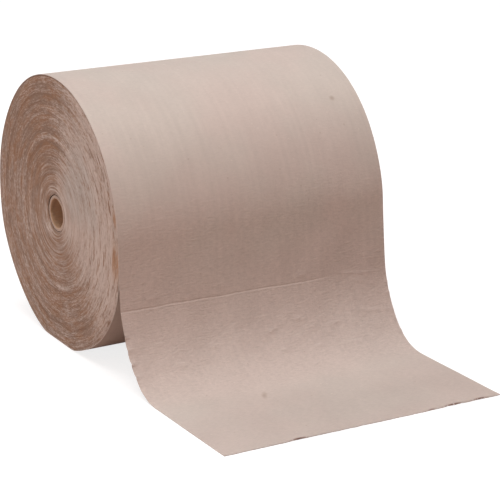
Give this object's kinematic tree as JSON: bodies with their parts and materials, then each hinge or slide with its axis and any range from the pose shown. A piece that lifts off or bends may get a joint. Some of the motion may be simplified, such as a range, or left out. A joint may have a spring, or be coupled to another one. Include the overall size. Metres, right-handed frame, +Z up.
{
  "type": "paper towel roll",
  "caption": "Hard-wound roll of natural brown paper towel on a narrow paperboard core, with its free end hanging off the front and lying flat on the table.",
  "frame": {"origin": "middle of the core's bore, on the roll's axis", "axes": "+X along the core, +Z up, and the free end is drawn off towards -Y"},
  "size_m": [0.203, 0.3284, 0.1874],
  "materials": {
    "towel_paper": "soft creped unbleached paper, matte",
    "core_board": "bare spiral-wound paperboard, matte"
  },
  "bodies": {
    "root": {"towel_web": "towel_paper", "core": "core_board"}
  },
  "joints": []
}
